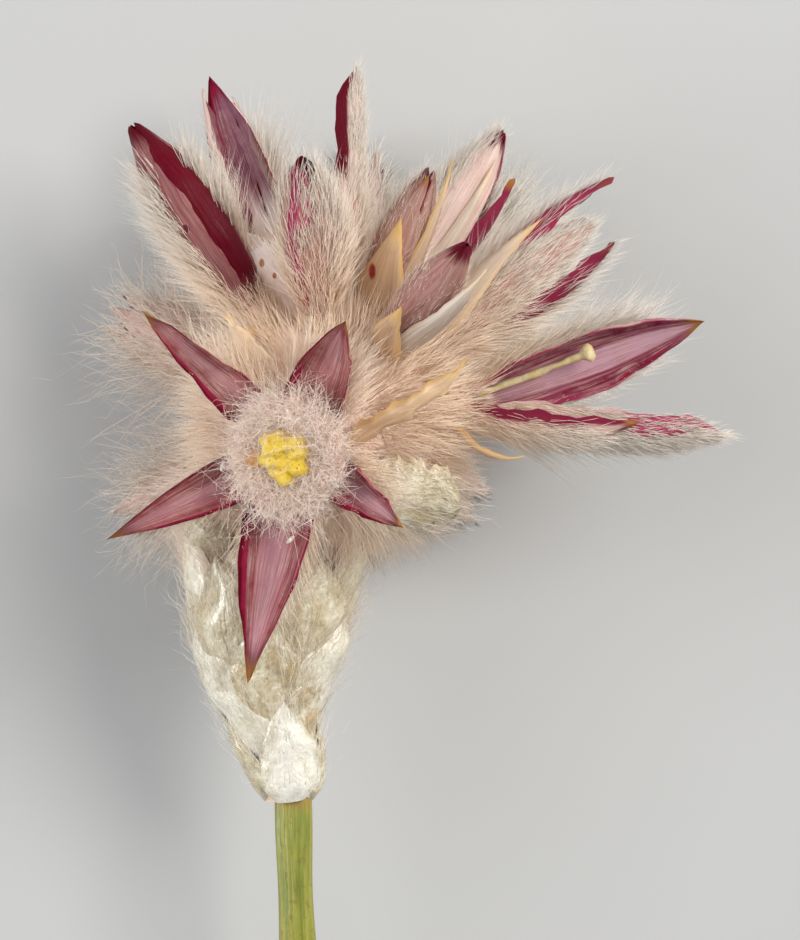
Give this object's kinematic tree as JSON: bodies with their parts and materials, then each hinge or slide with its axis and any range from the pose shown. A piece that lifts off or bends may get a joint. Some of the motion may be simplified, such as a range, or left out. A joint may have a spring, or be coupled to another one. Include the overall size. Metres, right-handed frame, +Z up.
{
  "type": "dried flower head",
  "caption": "Cut flower head lying on its side: furry pink flowers radiate from a woolly core above a cup of papery bracts on a short bare stem.",
  "frame": {"origin": "middle of the bounding box, on the surface that the flower head lies on", "axes": "+Y from the cut end of the stem to the head, +X to the right of the show side, +Z up from the surface to the show side"},
  "size_m": [0.025, 0.0548, 0.0182],
  "materials": {
    "stem": "smooth, faintly ribbed, satin",
    "bract": "papery, satin, silky haired",
    "tepal": "satin inside, long silky hairs outside",
    "wool": "curly wool",
    "anther": "matte, grainy",
    "style": "satin"
  },
  "bodies": {
    "root": {"stem": "stem", "bract_core": "bract", "flower_star": "tepal", "flower_upper_left": "tepal", "flower_top_left": "tepal", "flower_top_front": "tepal", "flower_top": "tepal", "flower_top_short": "tepal", "flower_upper_right": "tepal", "flower_front_right": "tepal", "flower_right": "tepal", "flower_east": "tepal", "back_upper_right": "tepal", "back_top_left": "tepal", "back_top": "tepal", "back_right": "tepal", "back_lower_right": "tepal", "back_left": "tepal", "back_lower_left": "tepal", "back_bottom_left": "tepal", "back_bottom_right": "tepal", "back_middle_right": "tepal", "back_middle_left": "tepal", "star_wool": "wool", "star_anthers": "anther", "east_style": "style"}
  },
  "joints": []
}
